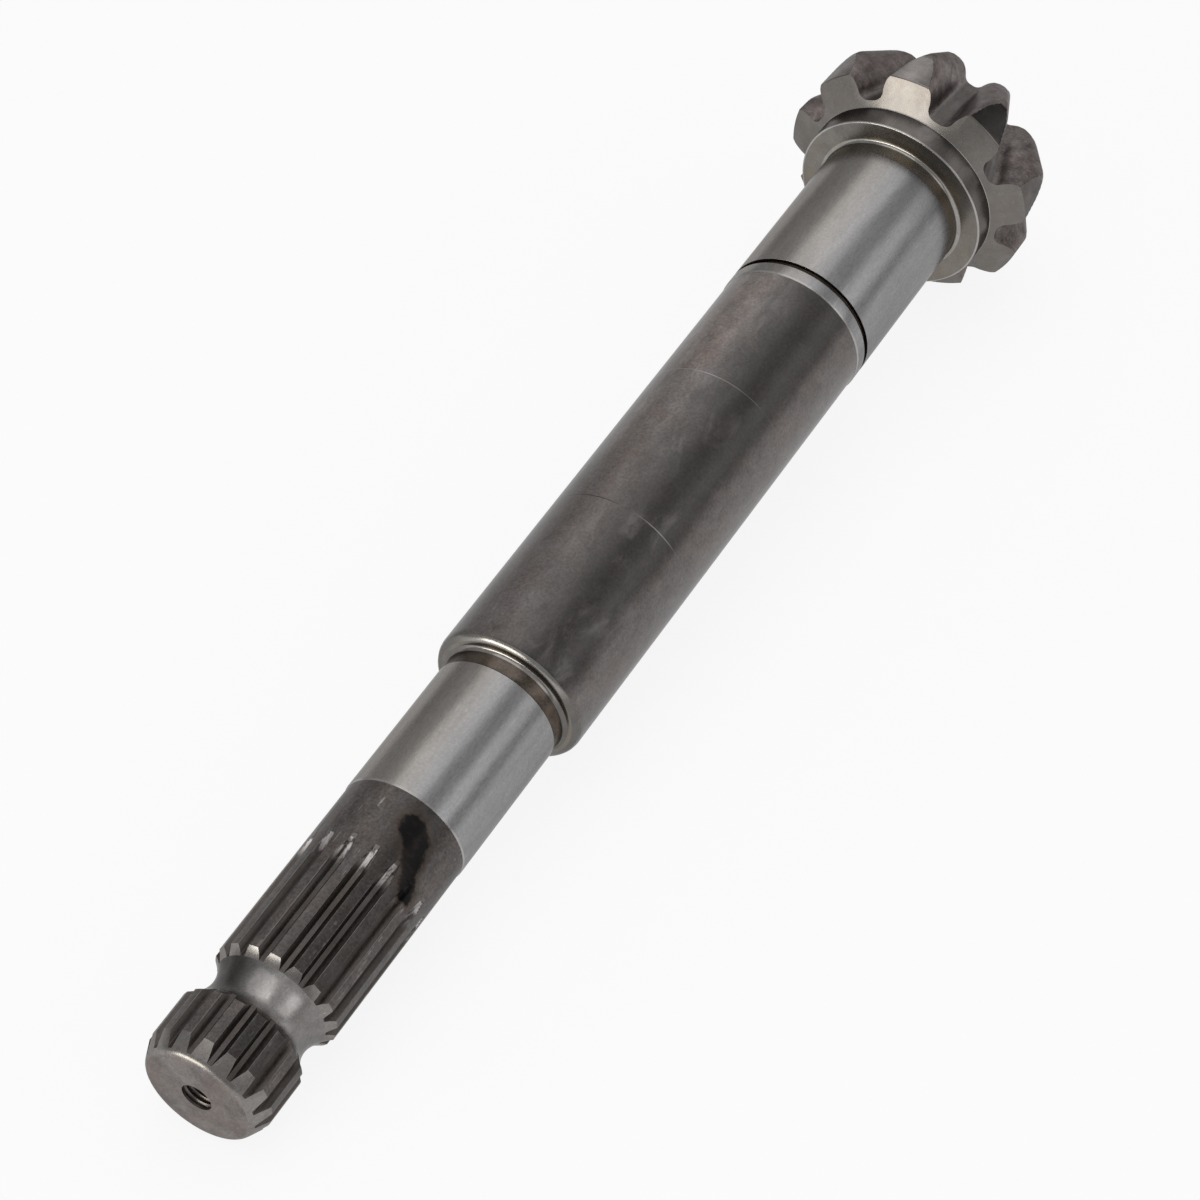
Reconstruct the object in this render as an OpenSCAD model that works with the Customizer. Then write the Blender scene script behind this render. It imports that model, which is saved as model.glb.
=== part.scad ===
// Bevel pinion shaft, turned, splined, ground and toothed from one piece of steel.
// It is drawn along +Z from its splined end, then laid down on the surface that it rests on.

/* [Splined end] */
// Diameter over the spline teeth
spline_tip_d = 36; // [34:0.1:36.4]
// Diameter at the bottom of the spline spaces
spline_root_d = 32; // [31:0.1:33.5]
// Number of spline teeth
spline_teeth = 17; // [15:1:18]
// Width of the flat on top of each spline tooth
spline_land_w = 2.7; // [2.3:0.1:2.9]
// Pressure angle of the spline flanks
spline_pressure = 30; // [25:1:35]
// Length from the end to the first bearing seat
spline_l = 93.5; // [85:0.5:110]
// Length of the spline spaces at full depth
spline_cut_l = 65; // [50:0.5:70]
// Radius of the cutter that lifts out at the end of each space
cutter_r = 31; // [20:1:40]
// Turn of one spline tooth from the bottom of the shaft
spline_turn = -3.7; // [-4:0.1:4]
// Diameter of the flat end face
end_face_d = 30.8; // [28:0.1:31.5]
// Length of the end chamfer
end_chamfer_l = 6; // [4:0.5:8]

/* [Lock groove] */
// Distance from the end to the middle of the groove
groove_z = 27; // [25:0.5:32]
// Radius of the groove's section
groove_r = 10; // [8:0.5:12]
// Diameter of the shaft at the bottom of the groove
groove_waist_d = 28.4; // [27:0.1:30]

/* [Bearing seats] */
// Diameter of the seat beside the spline
seat_1_d = 36.5; // [36.4:0.1:38]
// Length of the seat beside the spline
seat_1_l = 44.8; // [30:0.1:60]
// Diameter of the seat beside the pinion
seat_2_d = 45; // [44.6:0.1:47]
// Length of the seat beside the pinion
seat_2_l = 51.4; // [40:0.1:70]
// Length of the lead-in at the start of each seat
seat_lead = 0.5; // [0.2:0.1:1]
// Width of the grinding relief at the barrel's shoulder
relief_1_w = 5.6; // [3:0.1:7]
// Width of the grinding relief at the collar's shoulder
relief_2_w = 5; // [3:0.1:7]
// Depth of the grinding relief
relief_depth = 0.3; // [0.1:0.05:0.5]
// Fillet between the relief and the shoulder
relief_fillet_r = 1.2; // [0.5:0.1:1.5]

/* [Barrel] */
// Diameter of the barrel between the seats
barrel_d = 44.4; // [43:0.1:44.5]
// Length of the barrel
barrel_l = 155; // [100:0.5:200]
// Rounding of the barrel's end
barrel_round_r = 2.9; // [0.5:0.1:3]

/* [Snap ring groove] */
// Width of the land in front of the groove
ring_land_w = 4.1; // [3:0.1:8]
// Width of the groove
ring_groove_w = 1.85; // [1.5:0.05:2.2]
// Diameter at the bottom of the groove
ring_groove_d = 42.5; // [41:0.1:43]

/* [Pinion collar] */
// Diameter of the collar behind the teeth
collar_d = 58.6; // [52:0.1:60]
// Length of the collar
collar_l = 7; // [5:0.1:12]
// Broken edge of the collar
collar_edge = 0.5; // [0.2:0.1:1]

/* [Pinion teeth] */
// Number of pinion teeth
gear_teeth = 9; // [9:1:10]
// Number of teeth on the wheel that it drives
wheel_teeth = 19; // [17:1:24]
// Module at the large end of the teeth
gear_module = 8; // [7.8:0.05:8.4]
// Pressure angle of the tooth flanks
gear_pressure = 20; // [18:0.5:22.5]
// Profile shift, in modules
gear_shift = 0.4; // [0.3:0.05:0.45]
// Length of the teeth along the pitch cone
face_w = 32; // [26:0.5:34]
// Diameter that the large end of the teeth is turned to
gear_od = 77; // [74:0.1:80]
// Height of the teeth above the pitch cone at the large end
addendum_heel = 10.6; // [9.5:0.1:11]
// Height of the teeth above the pitch cone at the small end
addendum_toe = 5.2; // [4.5:0.1:5.6]
// Depth of the spaces below the pitch cone at the large end
dedendum_heel = 5.3; // [4.8:0.1:5.8]
// Depth of the spaces below the pitch cone at the small end
dedendum_toe = 2.1; // [1.8:0.1:3]
// Fillet at the foot of the teeth at the large end
foot_fillet_r = 2.4; // [1.5:0.1:2.6]
// Rounding of the tooth crests
crest_round = 0.9; // [0.5:0.1:1.2]
// Diameter of the flat at the pinion's front
front_face_d = 29; // [24:0.5:32]

/* [Centre holes] */
// Core diameter of the tapped hole in the splined end
tap_core_d = 8.5; // [6.8:0.1:10.2]
// Depth of the tapped hole
tap_l = 22; // [15:0.5:30]
// Diameter of the turning centre in the pinion's front
centre_d = 8.5; // [6:0.1:10]
// Diameter of the turning centre's pilot hole
centre_pilot_d = 4; // [3:0.1:5]
// Depth of the pilot hole
centre_pilot_l = 11; // [9:0.5:14]

/* [Hidden] */

$fn = 96;
arc_steps = 5;
cut_margin = 1;
drill_point_angle = 118;
centre_angle = 60;

spline_tip_r = spline_tip_d / 2;
spline_root_r = spline_root_d / 2;
seat_1_r = seat_1_d / 2;
seat_2_r = seat_2_d / 2;
barrel_r = barrel_d / 2;
collar_r = collar_d / 2;
gear_od_r = gear_od / 2;

// Stations along the shaft, from the splined end
seat_1_z = spline_l;
relief_1_z = seat_1_z + seat_1_l;
shoulder_1_z = relief_1_z + relief_1_w;
land_z = shoulder_1_z + barrel_l;
ring_z = land_z + ring_land_w;
seat_2_z = ring_z + ring_groove_w;
relief_2_z = seat_2_z + seat_2_l;
shoulder_2_z = relief_2_z + relief_2_w;
back_cone_z = shoulder_2_z + collar_l;

// The barrel's rounding is limited by the height of its shoulder
shoulder_1_h = barrel_r - seat_1_r + relief_depth - relief_fillet_r;
barrel_end_r = min(barrel_round_r, shoulder_1_h);

// Spline form
spline_module = spline_tip_d / (spline_teeth + 1);
spline_base_r = spline_module * spline_teeth / 2 * cos(spline_pressure);
spline_tip_half = spline_land_w / spline_tip_d * 180 / PI;
spline_pitch = 360 / spline_teeth;

// Pitch cone, with its apex on the shaft's axis
pitch_angle = atan(gear_teeth / wheel_teeth);
heel_r = gear_module * gear_teeth / 2;
toe_r = heel_r - face_w * sin(pitch_angle);
heel_z = back_cone_z + (heel_r - collar_r) * tan(pitch_angle);
apex_z = heel_z + heel_r / tan(pitch_angle);
toe_pitch_z = apex_z - toe_r / tan(pitch_angle);
gear_pitch = 360 / gear_teeth;

// Tooth form on the back cone rolled out flat
flat_pitch_r = heel_r / cos(pitch_angle);
flat_base_r = flat_pitch_r * cos(gear_pressure);
tooth_half = (PI / 4 + gear_shift * tan(gear_pressure)) * gear_module / flat_pitch_r * 180 / PI;

// Root and crest lines of the teeth, each through its heel and toe
root_heel_r = heel_r - dedendum_heel * cos(pitch_angle);
root_toe_r = toe_r - dedendum_toe * cos(pitch_angle);
crest_heel_r = heel_r + addendum_heel * cos(pitch_angle);
crest_toe_r = toe_r + addendum_toe * cos(pitch_angle);
tooth_sink = 1.2;
foot_sink = 0.2;
flank_steps = 5;
heel_plane_z = back_cone_z - 2.5;
toe_plane_z = toe_z(crest_toe_r) + 2.5;
section_zs = [heel_plane_z, (heel_plane_z + toe_plane_z) / 2, toe_plane_z];

// Resting tilt: the shaft lies on its splined end and on the large ends of two pinion teeth
rest_gear_z = back_z(gear_od_r);
rest_gear_depth = gear_od_r * cos(gear_pitch / 2 - flank_half(gear_od_r, rest_gear_z));
rest_tilt = atan((rest_gear_depth - spline_tip_r) / (rest_gear_z - end_chamfer_l));
rest_height = spline_tip_r * cos(rest_tilt) - end_chamfer_l * sin(rest_tilt);
low_crest = crest_toe_r * cos(gear_pitch / 2);
rest_end_x = toe_z(crest_toe_r) * cos(rest_tilt) + low_crest * sin(rest_tilt);
rest_middle_x = (rest_end_x - end_face_d / 2 * sin(rest_tilt)) / 2;

// Involute of an angle, in degrees
function involute(a) = tan(a) * 180 / PI - a;

// Angle at which an involute of one base radius meets a radius
function roll(base, r) = r > base ? acos(base / r) : 0;

// Points of an arc about c
function arc(c, r, from, to) =
    [for (i = [0 : arc_steps]) c + r * [cos(from + (to - from) * i / arc_steps),
                                        sin(from + (to - from) * i / arc_steps)]];

// Half angle of a spline space at radius r
function space_half(r) =
    spline_pitch / 2 - spline_tip_half - involute(roll(spline_base_r, spline_tip_r))
    + involute(roll(spline_base_r, r));

// Cones across the tooth ends
function back_z(r) = back_cone_z + (r - collar_r) * tan(pitch_angle);
function toe_z(r) = toe_pitch_z + (r - toe_r) * tan(pitch_angle);

// Radius at z on the line through a heel point and a toe point
function line_r(heel, toe, z) =
    heel + (toe - heel) * (z - back_z(heel)) / (toe_z(toe) - back_z(heel));
function root_r(z) = line_r(root_heel_r, root_toe_r, z);
function crest_r(z) = line_r(crest_heel_r, crest_toe_r, z);

// Size of the tooth form at (r, z) against that at the heel
function form_scale(r, z) = (apex_z - z + r * tan(pitch_angle)) / (apex_z - back_z(0));

// Half angle of a pinion tooth's involute flank at (r, z)
function flank_half(r, z) =
    (tooth_half + involute(gear_pressure)
     - involute(roll(flat_base_r, r / form_scale(r, z) / cos(pitch_angle)))) / cos(pitch_angle);

// Half angle where the foot fillet, of radius f, has risen by the share u
function foot_half(r, z, f, u) =
    flank_half(r, z) + f * (1 - sqrt(1 - pow(1 - u, 2))) / r * 180 / PI;

// One side of a tooth's section at z, from its foot to its crest, as [radius, half angle]
function tooth_side(z) =
    let (foot = root_r(z) - foot_sink,
         fillet = foot_fillet_r * form_scale(root_r(z), z),
         shoulder = crest_r(z) - crest_round)
    concat(
        [[foot - tooth_sink, foot_half(foot, z, fillet, 0)]],
        [for (i = [0 : arc_steps - 1])
            let (u = 1 - cos(90 * i / arc_steps), r = foot + u * fillet)
            [r, foot_half(r, z, fillet, u)]],
        [for (i = [0 : flank_steps])
            let (r = foot + fillet + (shoulder - foot - fillet) * i / flank_steps)
            [r, flank_half(r, z)]],
        [for (i = [1 : arc_steps - 1])
            let (a = 90 * i / arc_steps)
            [shoulder + crest_round * sin(a), flank_half(shoulder, z) * cos(a)]]);

function on_shaft(r, a, z) = [r * cos(a), r * sin(a), z];

// Right side up, then left side down
function tooth_section(z) =
    let (side = tooth_side(z), n = len(side))
    concat([for (p = side) on_shaft(p[0], p[1], z)],
           [for (i = [n - 1 : -1 : 0]) on_shaft(side[i][0], -side[i][1], z)]);

// Faces of a loft through sections of n points, closed by strips across both end sections
function loft_faces(sections, n) =
    concat(
        [for (s = [0 : sections - 2], i = [0 : n - 1])
            let (j = (i + 1) % n, a = s * n, b = a + n)
            each [[a + i, b + j, b + i], [a + i, a + j, b + j]]],
        [for (i = [0 : n / 2 - 2])
            each [[i, n - 2 - i, i + 1], [i, n - 1 - i, n - 2 - i]]],
        [for (i = [0 : n / 2 - 2])
            let (b = (sections - 1) * n)
            each [[b + i, b + i + 1, b + n - 2 - i], [b + i, b + n - 2 - i, b + n - 1 - i]]]);

// Section of the turned shaft, as [radius, z], from the splined end to inside the pinion
function shaft_profile() =
    concat(
        [[0, 0], [end_face_d / 2, 0], [spline_tip_r, end_chamfer_l]],
        [[spline_tip_r, seat_1_z], [seat_1_r, seat_1_z + seat_lead]],
        relief_profile(seat_1_r, relief_1_z, relief_1_w),
        arc([barrel_r - barrel_end_r, shoulder_1_z + barrel_end_r], barrel_end_r, -90, 0),
        [[barrel_r, land_z], [seat_2_r, land_z + seat_lead], [seat_2_r, ring_z]],
        [[ring_groove_d / 2, ring_z], [ring_groove_d / 2, seat_2_z], [seat_2_r, seat_2_z]],
        relief_profile(seat_2_r, relief_2_z, relief_2_w),
        [[collar_r - collar_edge, shoulder_2_z], [collar_r, shoulder_2_z + collar_edge]],
        [[collar_r, back_cone_z + cut_margin], [0, back_cone_z + cut_margin]]);

// Grinding relief from the end of a seat to its fillet at the shoulder
function relief_profile(seat_r, z, w) =
    let (floor_r = seat_r - relief_depth)
    concat(
        [[seat_r, z], [floor_r, z + relief_depth]],
        arc([floor_r + relief_fillet_r, z + w - relief_fillet_r], relief_fillet_r, 180, 90));

// Section of a spline space, across the shaft, open past the tooth tips
module spline_space_section() {
    radii = [for (i = [0 : 4]) spline_root_r + (spline_tip_r + cut_margin - spline_root_r) * i / 4];
    right = [for (r = radii) on_shaft(r, space_half(r), 0)];
    polygon(concat([for (p = right) [p[0], p[1]]],
                   [for (i = [len(right) - 1 : -1 : 0]) [right[i][0], -right[i][1]]]));
}

// One spline space: straight, then lifting out on the cutter's radius
module spline_space() {
    lift_angle = acos(1 - (spline_tip_r - spline_root_r + cut_margin) / cutter_r);
    translate([0, 0, -cut_margin])
        linear_extrude(spline_cut_l + cut_margin)
            spline_space_section();
    translate([spline_root_r + cutter_r, 0, spline_cut_l])
        rotate([90, 0, 180])
            rotate_extrude(angle = lift_angle)
                translate([spline_root_r + cutter_r, 0])
                    mirror([1, 0])
                        spline_space_section();
}

module lock_groove() {
    translate([0, 0, groove_z])
        rotate_extrude()
            translate([groove_waist_d / 2 + groove_r, 0])
                circle(groove_r);
}

module tapped_hole() {
    point_l = tap_core_d / 2 / tan(drill_point_angle / 2);
    translate([0, 0, -cut_margin])
        cylinder(d = tap_core_d, h = tap_l + cut_margin);
    translate([0, 0, tap_l])
        cylinder(d1 = tap_core_d, d2 = 0, h = point_l);
}

// Turning centre: a cone for the lathe's centre and a pilot hole
module turning_centre() {
    cone_l = centre_d / 2 / tan(centre_angle / 2);
    margin_r = cut_margin * tan(centre_angle / 2);
    front_z = toe_z(front_face_d / 2);
    translate([0, 0, front_z - cone_l])
        cylinder(r1 = 0, r2 = centre_d / 2 + margin_r, h = cone_l + cut_margin);
    translate([0, 0, front_z - centre_pilot_l])
        cylinder(d = centre_pilot_d, h = centre_pilot_l);
}

module turned_shaft() {
    difference() {
        rotate_extrude()
            polygon(shaft_profile());
        lock_groove();
        for (i = [0 : spline_teeth - 1])
            rotate(spline_turn + spline_pitch * (i + 0.5))
                spline_space();
        tapped_hole();
    }
}

module pinion_tooth() {
    n = 2 * len(tooth_side(heel_plane_z));
    polyhedron(
        points = [for (z = section_zs) each tooth_section(z)],
        faces = loft_faces(len(section_zs), n),
        convexity = 4);
}

// Turned limits of the pinion: back cone, outside diameter, toe cone and front face
module pinion_blank() {
    front_r = front_face_d / 2;
    rotate_extrude()
        polygon([[0, back_z(0)], [gear_od_r, back_z(gear_od_r)], [gear_od_r, toe_z(gear_od_r)],
                 [front_r, toe_z(front_r)], [0, toe_z(front_r)]]);
}

// The seam of the root cone is turned away from the middles of the teeth and the spaces
module pinion() {
    difference() {
        intersection() {
            union() {
                rotate(gear_pitch / 4)
                    rotate_extrude()
                        polygon([[0, heel_plane_z], [root_r(heel_plane_z), heel_plane_z],
                                 [root_r(toe_plane_z), toe_plane_z], [0, toe_plane_z]]);
                for (i = [0 : gear_teeth - 1])
                    rotate(gear_pitch * (i + 0.5))
                        pinion_tooth();
            }
            pinion_blank();
        }
        turning_centre();
    }
}

module pinion_shaft() {
    color([0.36, 0.34, 0.33])
        translate([-rest_middle_x, 0, rest_height])
            rotate([0, 90 - rest_tilt, 0])
                union() {
                    turned_shaft();
                    pinion();
                }
}

pinion_shaft();
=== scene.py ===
import math

import bmesh
import bpy
from mathutils import Matrix, Vector


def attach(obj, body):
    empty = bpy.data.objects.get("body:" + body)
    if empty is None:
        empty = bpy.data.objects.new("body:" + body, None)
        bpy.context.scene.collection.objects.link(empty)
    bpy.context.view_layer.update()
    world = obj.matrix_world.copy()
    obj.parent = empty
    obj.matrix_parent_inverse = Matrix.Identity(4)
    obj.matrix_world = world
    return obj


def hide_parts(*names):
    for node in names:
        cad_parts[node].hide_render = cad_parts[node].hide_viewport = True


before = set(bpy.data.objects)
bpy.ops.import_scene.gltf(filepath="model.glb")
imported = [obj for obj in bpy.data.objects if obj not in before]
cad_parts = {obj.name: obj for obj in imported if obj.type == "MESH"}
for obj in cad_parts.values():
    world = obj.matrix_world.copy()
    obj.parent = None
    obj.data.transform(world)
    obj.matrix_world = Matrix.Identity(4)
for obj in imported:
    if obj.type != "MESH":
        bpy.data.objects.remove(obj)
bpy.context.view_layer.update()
print("frame loaded:", sorted(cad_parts))

mm = 0.001

# the shaft is modelled upright from its splined end, in millimetres, then laid down
lying = {
    "tilt": 3.10768,  # degrees, spline end and two pinion teeth on the floor
    "height": 17.64825,  # axis above the floor at the splined end
    "middle": 201.25898,  # shift of the origin along the shaft
    "crispFrom": 28.0,  # degrees, a sharper edge stays crisp
}

shaft = {
    "segments": 306,  # eighteen to each spline tooth
    "endFaceR": 15.4,
    "endFaceRound": 2.6,
    "splineR": 18.0,
    "chamferEnd": 6.0,
    "chamferRound": 0.8,
    "grooveMid": 27.0,
    "grooveSection": 10.0,
    "grooveWaist": 14.2,
    "grooveSteps": 30,
    "seat1Start": 93.5,
    "seat1R": 18.25,
    "seat1End": 138.3,
    "seatRise": 0.5,  # length of the lead on to a seat
    "shoulder1": 143.9,
    "barrelR": 22.2,
    "barrelRound": 2.9,
    "barrelEase": 0.05,  # keeps the rounding clear of its neighbours
    "landStart": 298.9,
    "ringStart": 303.0,
    "ringEnd": 304.85,
    "ringFloorR": 21.25,
    "ringLip": 0.08,
    "seat2R": 22.5,
    "seat2End": 356.25,
    "shoulder2": 361.25,
    "collarR": 29.3,
    "collarRound": 0.5,
    "backCone": 368.25,
    "coneRound": 0.3,
    "reliefDepth": 0.3,
    "fillet": 1.2,
    "fineEdge": 0.1,
    "softEdge": 0.2,
    "tapCoreR": 4.25,
    "tapCrestR": 4.9,
    "tapPitch": 1.5,
    "tapDepth": 22.0,
    "tapClear": 3.0,  # no thread this close to the bottom
    "tapMouth": 0.1,
    "threadRise": 0.3,
    "threadFall": 0.9,
    "drillHalf": 59.0,  # degrees, half the drill's point
    "centreR": 4.25,
    "centreHalf": 30.0,
    "pilotR": 2.0,
    "pilotDepth": 11.0,
    "pilotPoint": 1.2,
}

spline = {
    "teeth": 17,
    "rootR": 16.0,
    "land": 2.7,
    "baseR": 17 * math.cos(math.radians(30)),
    "turn": -3.7,
    "cutBefore": 1.0,
    "cutLength": 65.0,
    "cutterR": 31.0,
    "liftLength": 12.6,
    "liftSteps": 14,
    "footRise": 0.2,
    "footAngle": 0.004,
    "flankSteps": 5,
    "tipRound": 0.22,
    "tipSteps": 4,
    "tipOver": 1.02,  # the broken edge runs a little past the tip
    "clear": 1.2,
    "clearAngle": 0.002,
}

pinion = {
    "teeth": 9,
    "wheelTeeth": 19,
    "module": 8.0,
    "pressure": 20.0,
    "shift": 0.4,
    "faceWidth": 32.0,
    "outerR": 38.5,
    "addendum": (10.6, 5.2),  # heel, toe
    "dedendum": (5.3, 2.1),
    "footFillet": 3.2,
    "crestCap": 5.4,  # height of the rounded crest at the heel
    "capTurn": 82.0,  # degrees of the crest's rounding
    "heelRound": 0.5,
    "toeRound": 6.5,
    "kinkRound": 9.0,
    "cornerRound": 1.5,
    "cornerStop": 60.0,  # degrees, stops short of running out flat
    "frontR": 14.5,
    "frontRound": 0.5,
    "filletSteps": 8,
    "flankSteps": 18,
    "capSteps": 14,
    "sections": 24,
    "cutBefore": 3.0,
    "cutPast": 6.0,
    "clear": 2.5,
    "apart": 0.008,  # neighbouring spaces stay apart by twice this angle
}


# cone geometry shared by the blank and the cutter
pitchAngle = math.atan(pinion["teeth"] / pinion["wheelTeeth"])
coneSlope = math.tan(pitchAngle)
heelR = pinion["module"] * pinion["teeth"] / 2
toeR = heelR - pinion["faceWidth"] * math.sin(pitchAngle)
crestHeelR = heelR + pinion["addendum"][0] * math.cos(pitchAngle)
crestToeR = toeR + pinion["addendum"][1] * math.cos(pitchAngle)
rootHeelR = heelR - pinion["dedendum"][0] * math.cos(pitchAngle)
rootToeR = toeR - pinion["dedendum"][1] * math.cos(pitchAngle)
apexZ = shaft["backCone"] + (heelR - shaft["collarR"]) * coneSlope + heelR / coneSlope
toePitchZ = apexZ - toeR / coneSlope
gearStep = math.tau / pinion["teeth"]


def backZ(r):
    return shaft["backCone"] + (r - shaft["collarR"]) * coneSlope


def toeZ(r):
    return toePitchZ + (r - toeR) * coneSlope


def lineR(heel, toe, z):  # radius at z on the line through a heel point and a toe point
    return heel + (toe - heel) * (z - backZ(heel)) / (toeZ(toe) - backZ(heel))


def rootR(z):
    return lineR(rootHeelR, rootToeR, z)


def crestR(z):
    return lineR(crestHeelR, crestToeR, z)


def involute(a):
    return math.tan(a) - a


def roll(base, r):
    return math.acos(base / r) if r > base else 0.0


def formScale(r, z):  # size of the tooth form against the one at the heel
    return (apexZ - z + r * coneSlope) / (apexZ - backZ(0))


def flankHalf(r, z):  # half angle of a pinion tooth
    flatR = heelR / math.cos(pitchAngle)
    press = math.radians(pinion["pressure"])
    half = (math.pi / 4 + pinion["shift"] * math.tan(press)) * pinion["module"] / flatR
    here = roll(flatR * math.cos(press), r / formScale(r, z) / math.cos(pitchAngle))
    return (half + involute(press) - involute(here)) / math.cos(pitchAngle)


def selectOnly(ob):
    if bpy.context.object and bpy.context.object.mode != "OBJECT":
        bpy.ops.object.mode_set(mode="OBJECT")
    bpy.ops.object.select_all(action="DESELECT")
    ob.select_set(True)
    bpy.context.view_layer.objects.active = ob


def selectAll():
    bpy.ops.mesh.select_all(action="SELECT")


def rounded(corners, steps=5):
    # corners are (radius, z, rounding); each rounding becomes a short arc
    out = []
    for i, (r, z, rad) in enumerate(corners):
        here = Vector((r, z))
        if rad <= 0 or i in (0, len(corners) - 1):
            out.append(here)
            continue
        a = (Vector(corners[i - 1][:2]) - here).normalized()
        b = (Vector(corners[i + 1][:2]) - here).normalized()
        half = a.angle(b) / 2
        reach = rad / math.tan(half)
        mid = here + (a + b).normalized() * rad / math.sin(half)
        p, q = here + a * reach - mid, here + b * reach - mid
        sweep = p.angle_signed(q)
        for k in range(steps + 1):
            turn = -sweep * k / steps
            out.append(mid + Matrix.Rotation(turn, 2) @ p)
    return out


def tappedHole():  # from the drill's point out to the end face
    s = shaft
    depth, coreR = s["tapDepth"], s["tapCoreR"]
    tip = depth + coreR / math.tan(math.radians(s["drillHalf"]))
    pts = [(0.0, tip, 0), (coreR, depth, 0)]
    for k in range(int((depth - s["tapClear"]) / s["tapPitch"]), 0, -1):
        z = k * s["tapPitch"]
        pts.append((coreR, z + s["threadRise"], 0))
        pts.append((s["tapCrestR"], z - s["threadRise"], 0))
        pts.append((coreR, z - s["threadFall"], 0))
    return pts + [(coreR + s["tapMouth"], 0.0, 0)]


def lockGroove():
    s = shaft
    mid, section, waist = s["grooveMid"], s["grooveSection"], s["grooveWaist"]
    reach = math.sqrt(section ** 2 - (waist + section - s["splineR"]) ** 2)
    first = math.asin(reach / section)
    pts = [(s["splineR"], mid - reach, 0)]
    for k in range(1, s["grooveSteps"]):
        a = -first + 2 * first * k / s["grooveSteps"]
        pts.append((waist + section - section * math.cos(a), mid + section * math.sin(a), 0))
    return pts + [(s["splineR"], mid + reach, 0)]


def relief(seatR, end, shoulder):  # end of a seat, its relief and the foot of the shoulder
    s = shaft
    floorR = seatR - s["reliefDepth"]
    return [(seatR, end, s["fineEdge"]),
            (floorR, end + s["reliefDepth"], s["softEdge"]),
            (floorR, shoulder, s["fillet"])]


def pinionOutline():  # back cone, outside diameter, crest cone, toe cone, front and turning centre
    s, p = shaft, pinion
    heelZ, tipZ, front = backZ(crestHeelR), toeZ(crestToeR), toeZ(p["frontR"])
    kinkZ = heelZ + (crestHeelR - p["outerR"]) / (crestHeelR - crestToeR) * (tipZ - heelZ)
    coneDepth = (s["centreR"] - s["pilotR"]) / math.tan(math.radians(s["centreHalf"]))
    return [(p["outerR"], backZ(p["outerR"]), p["heelRound"]),
            (p["outerR"], kinkZ, p["kinkRound"]),
            (crestToeR, tipZ, p["toeRound"]),
            (p["frontR"], front, p["frontRound"]),
            (s["centreR"], front, s["fineEdge"]),
            (s["pilotR"], front - coneDepth, 0),
            (s["pilotR"], front - s["pilotDepth"], 0),
            (0.0, front - s["pilotDepth"] - s["pilotPoint"], 0)]


def shaftProfile():
    s = shaft
    fine, soft, lip = s["fineEdge"], s["softEdge"], s["ringLip"]
    pts = tappedHole()
    pts += [(s["endFaceR"], 0.0, s["endFaceRound"]), (s["splineR"], s["chamferEnd"], s["chamferRound"])]
    pts += lockGroove()
    pts += [(s["splineR"], s["seat1Start"], fine), (s["seat1R"], s["seat1Start"] + s["seatRise"], soft)]
    pts += relief(s["seat1R"], s["seat1End"], s["shoulder1"])
    pts += [(s["barrelR"], s["shoulder1"], s["barrelRound"] - s["barrelEase"])]
    pts += [(s["barrelR"], s["landStart"], fine), (s["seat2R"], s["landStart"] + s["seatRise"], soft)]
    pts += [(s["seat2R"], s["ringStart"], lip), (s["ringFloorR"], s["ringStart"], fine)]
    pts += [(s["ringFloorR"], s["ringEnd"], fine), (s["seat2R"], s["ringEnd"], lip)]
    pts += relief(s["seat2R"], s["seat2End"], s["shoulder2"])
    pts += [(s["collarR"], s["shoulder2"], s["collarRound"]), (s["collarR"], s["backCone"], s["coneRound"])]
    pts += pinionOutline()
    return rounded(pts)


def turnBlank():
    profile = [p * mm for p in shaftProfile()]
    bpy.ops.object.select_all(action="DESELECT")
    bpy.ops.mesh.primitive_circle_add(vertices=3, radius=mm)
    ob = bpy.context.object
    ob.name = ob.data.name = "pinionShaft"
    bpy.ops.object.mode_set(mode="EDIT")
    selectAll()
    bpy.ops.mesh.merge(type="CENTER")
    bpy.ops.transform.translate(value=(profile[0][0], 0, profile[0][1]))
    for a, b in zip(profile, profile[1:]):  # the section, drawn point by point
        step = (b[0] - a[0], 0, b[1] - a[1])
        bpy.ops.mesh.extrude_vertices_move(TRANSFORM_OT_translate={"value": step})
    selectAll()
    bpy.ops.mesh.spin(steps=shaft["segments"], angle=math.tau, center=(0, 0, 0), axis=(0, 0, 1))
    selectAll()
    bpy.ops.mesh.remove_doubles(threshold=1e-7)
    bpy.ops.mesh.normals_make_consistent(inside=False)
    bpy.ops.object.mode_set(mode="OBJECT")
    return ob


def outlinePiece(name, outline, z):  # a flat face with the given outline, as the start of a cutter
    bpy.ops.object.select_all(action="DESELECT")
    bpy.ops.mesh.primitive_circle_add(vertices=len(outline), radius=mm, fill_type="NGON")
    ob = bpy.context.object
    ob.name = name
    for v, (x, y) in zip(ob.data.vertices, outline):
        v.co = (x * mm, y * mm, z * mm)
    bpy.ops.object.mode_set(mode="EDIT")
    selectAll()
    return ob


def pullOut(x, z):  # extrudes the selected face, in millimetres
    bpy.ops.mesh.extrude_region_move(TRANSFORM_OT_translate={"value": (x * mm, 0, z * mm)})


def bothSides(side):  # (radius, half angle) up one side and down the other
    right = [(r * math.cos(a), r * math.sin(a)) for r, a in side]
    return right + [(x, -y) for x, y in reversed(right)]


def copiesRound(count):
    selectAll()
    bpy.ops.mesh.normals_make_consistent(inside=False)
    bpy.ops.mesh.spin(steps=count - 1, dupli=True, angle=math.tau * (count - 1) / count,
                      center=(0, 0, 0), axis=(0, 0, 1))
    bpy.ops.object.mode_set(mode="OBJECT")


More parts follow.
